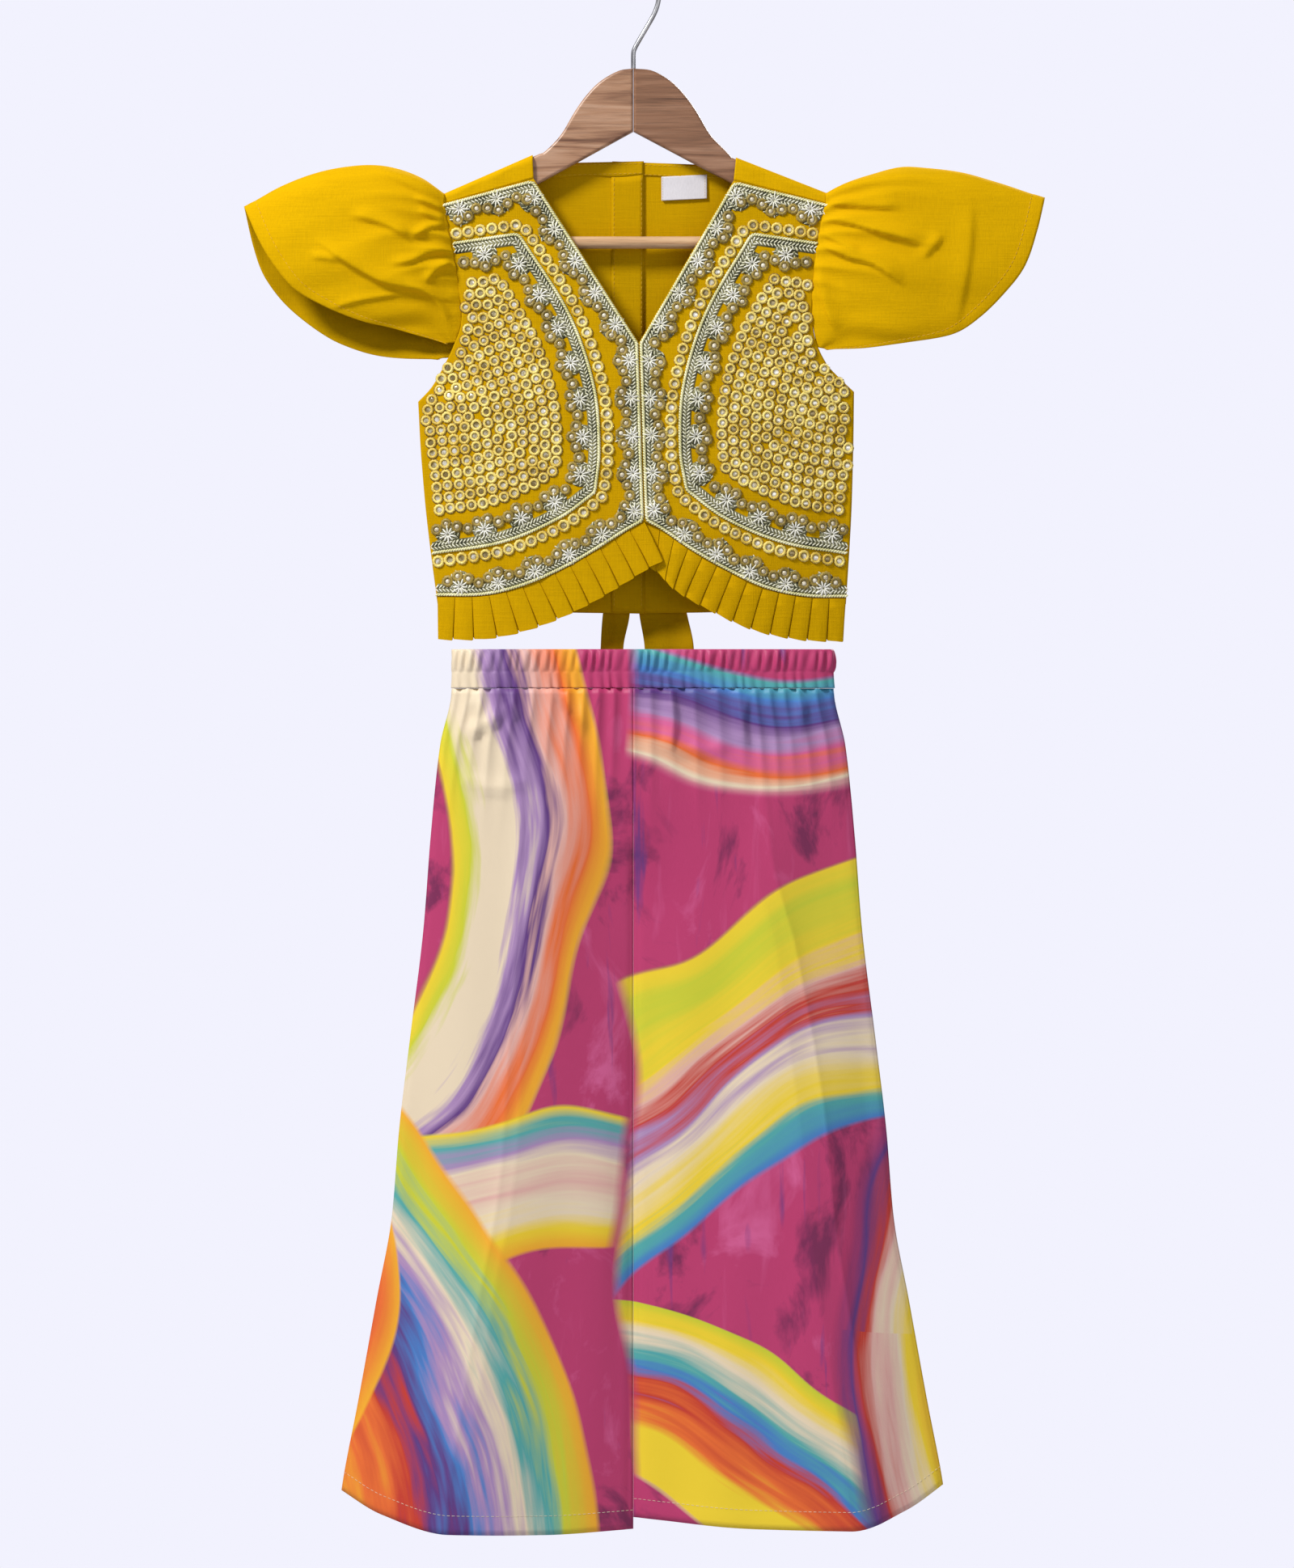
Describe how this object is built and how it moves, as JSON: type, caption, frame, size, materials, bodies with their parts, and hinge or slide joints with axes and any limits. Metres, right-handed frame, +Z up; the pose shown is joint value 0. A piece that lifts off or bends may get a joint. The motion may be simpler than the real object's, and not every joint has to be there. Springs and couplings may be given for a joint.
{
  "type": "top and palazzo set on a hanger",
  "caption": "Child's short yellow top with flutter sleeves, beaded front and pleated frill, and a wide printed palazzo, hung as a set on a wooden hanger.",
  "frame": {"origin": "inner top of the hanger's hook, where it rests on a rail", "axes": "+Z up, -Y out of the set's front, +X to the viewer's right"},
  "size_m": [0.6831, 0.06, 1.3379],
  "materials": {
    "cotton": "matte slub cotton",
    "sash_cotton": "matte slub cotton",
    "braid": "silvery thread",
    "label": "satin ribbon",
    "print": "soft printed satin",
    "pale_wood": "satin lacquer",
    "dark_wood": "satin lacquer",
    "bar_wood": "bare, smooth",
    "steel": "plated wire",
    "button": "gloss",
    "mirror": "small sewn mirrors",
    "beads": "pearl",
    "thread": "embroidery thread"
  },
  "bodies": {
    "root": {"hanger_arm_left": "pale_wood", "hanger_arm_right": "dark_wood", "hanger_bar": "bar_wood", "hanger_hook": "steel", "top_front_left": "cotton", "top_front_right": "cotton", "top_back_left": "cotton", "top_back_right": "cotton", "yoke_left": "cotton", "yoke_right": "cotton", "sleeve_left": "cotton", "sleeve_right": "cotton", "frill_left": "cotton", "frill_right": "cotton", "braid_outer_left": "braid", "braid_outer_right": "braid", "braid_inner_left": "braid", "braid_inner_right": "braid", "neck_label": "label", "button_1": "button", "button_2": "button", "button_3": "button", "button_4": "button", "sash_left": "sash_cotton", "sash_right": "sash_cotton", "sash_knot": "sash_cotton", "sash_tail_left": "sash_cotton", "sash_tail_right": "sash_cotton", "palazzo_waistband": "print", "palazzo_front_left": "print", "palazzo_front_right": "print", "palazzo_back_left": "print", "palazzo_back_right": "print"}
  },
  "joints": []
}
